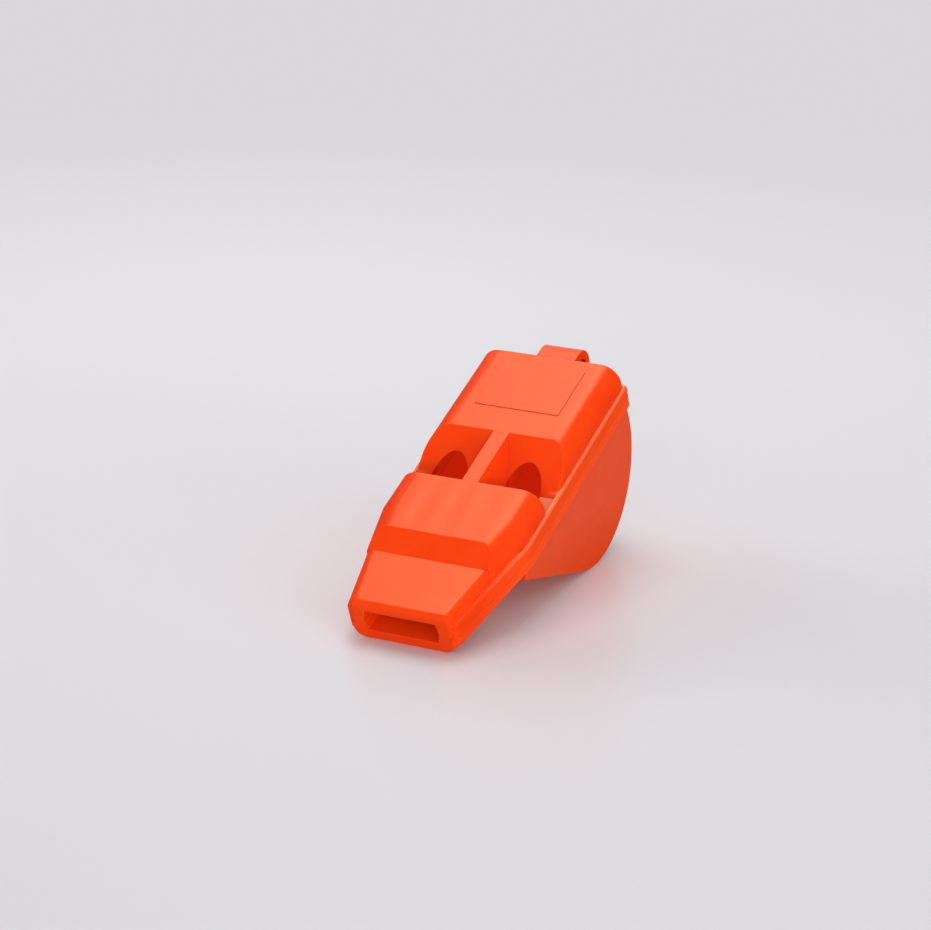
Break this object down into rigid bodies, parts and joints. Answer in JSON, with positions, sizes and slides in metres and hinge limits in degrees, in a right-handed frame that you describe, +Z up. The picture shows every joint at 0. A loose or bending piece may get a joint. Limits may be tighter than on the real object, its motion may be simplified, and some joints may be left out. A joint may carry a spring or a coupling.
{
  "type": "pealess sports whistle",
  "caption": "Pealess plastic sports whistle with a flat mouthpiece, side-open window with a middle rib, round sound bores, drum-shaped belly and lanyard eye.",
  "frame": {"origin": "centre of the bounding box's bottom face, on the table the whistle lies on", "axes": "+X across the whistle, +Y from the mouth to the lanyard eye, +Z up. The whistle lies on its lower lip and its drum, so its seam rises towards +Y by 22.3 degrees"},
  "size_m": [0.0222, 0.0542, 0.0273],
  "materials": {
    "moulding": "moulded ABS, semi-gloss orange"
  },
  "bodies": {
    "root": {"top_cover": "moulding", "lower_body": "moulding"}
  },
  "joints": []
}
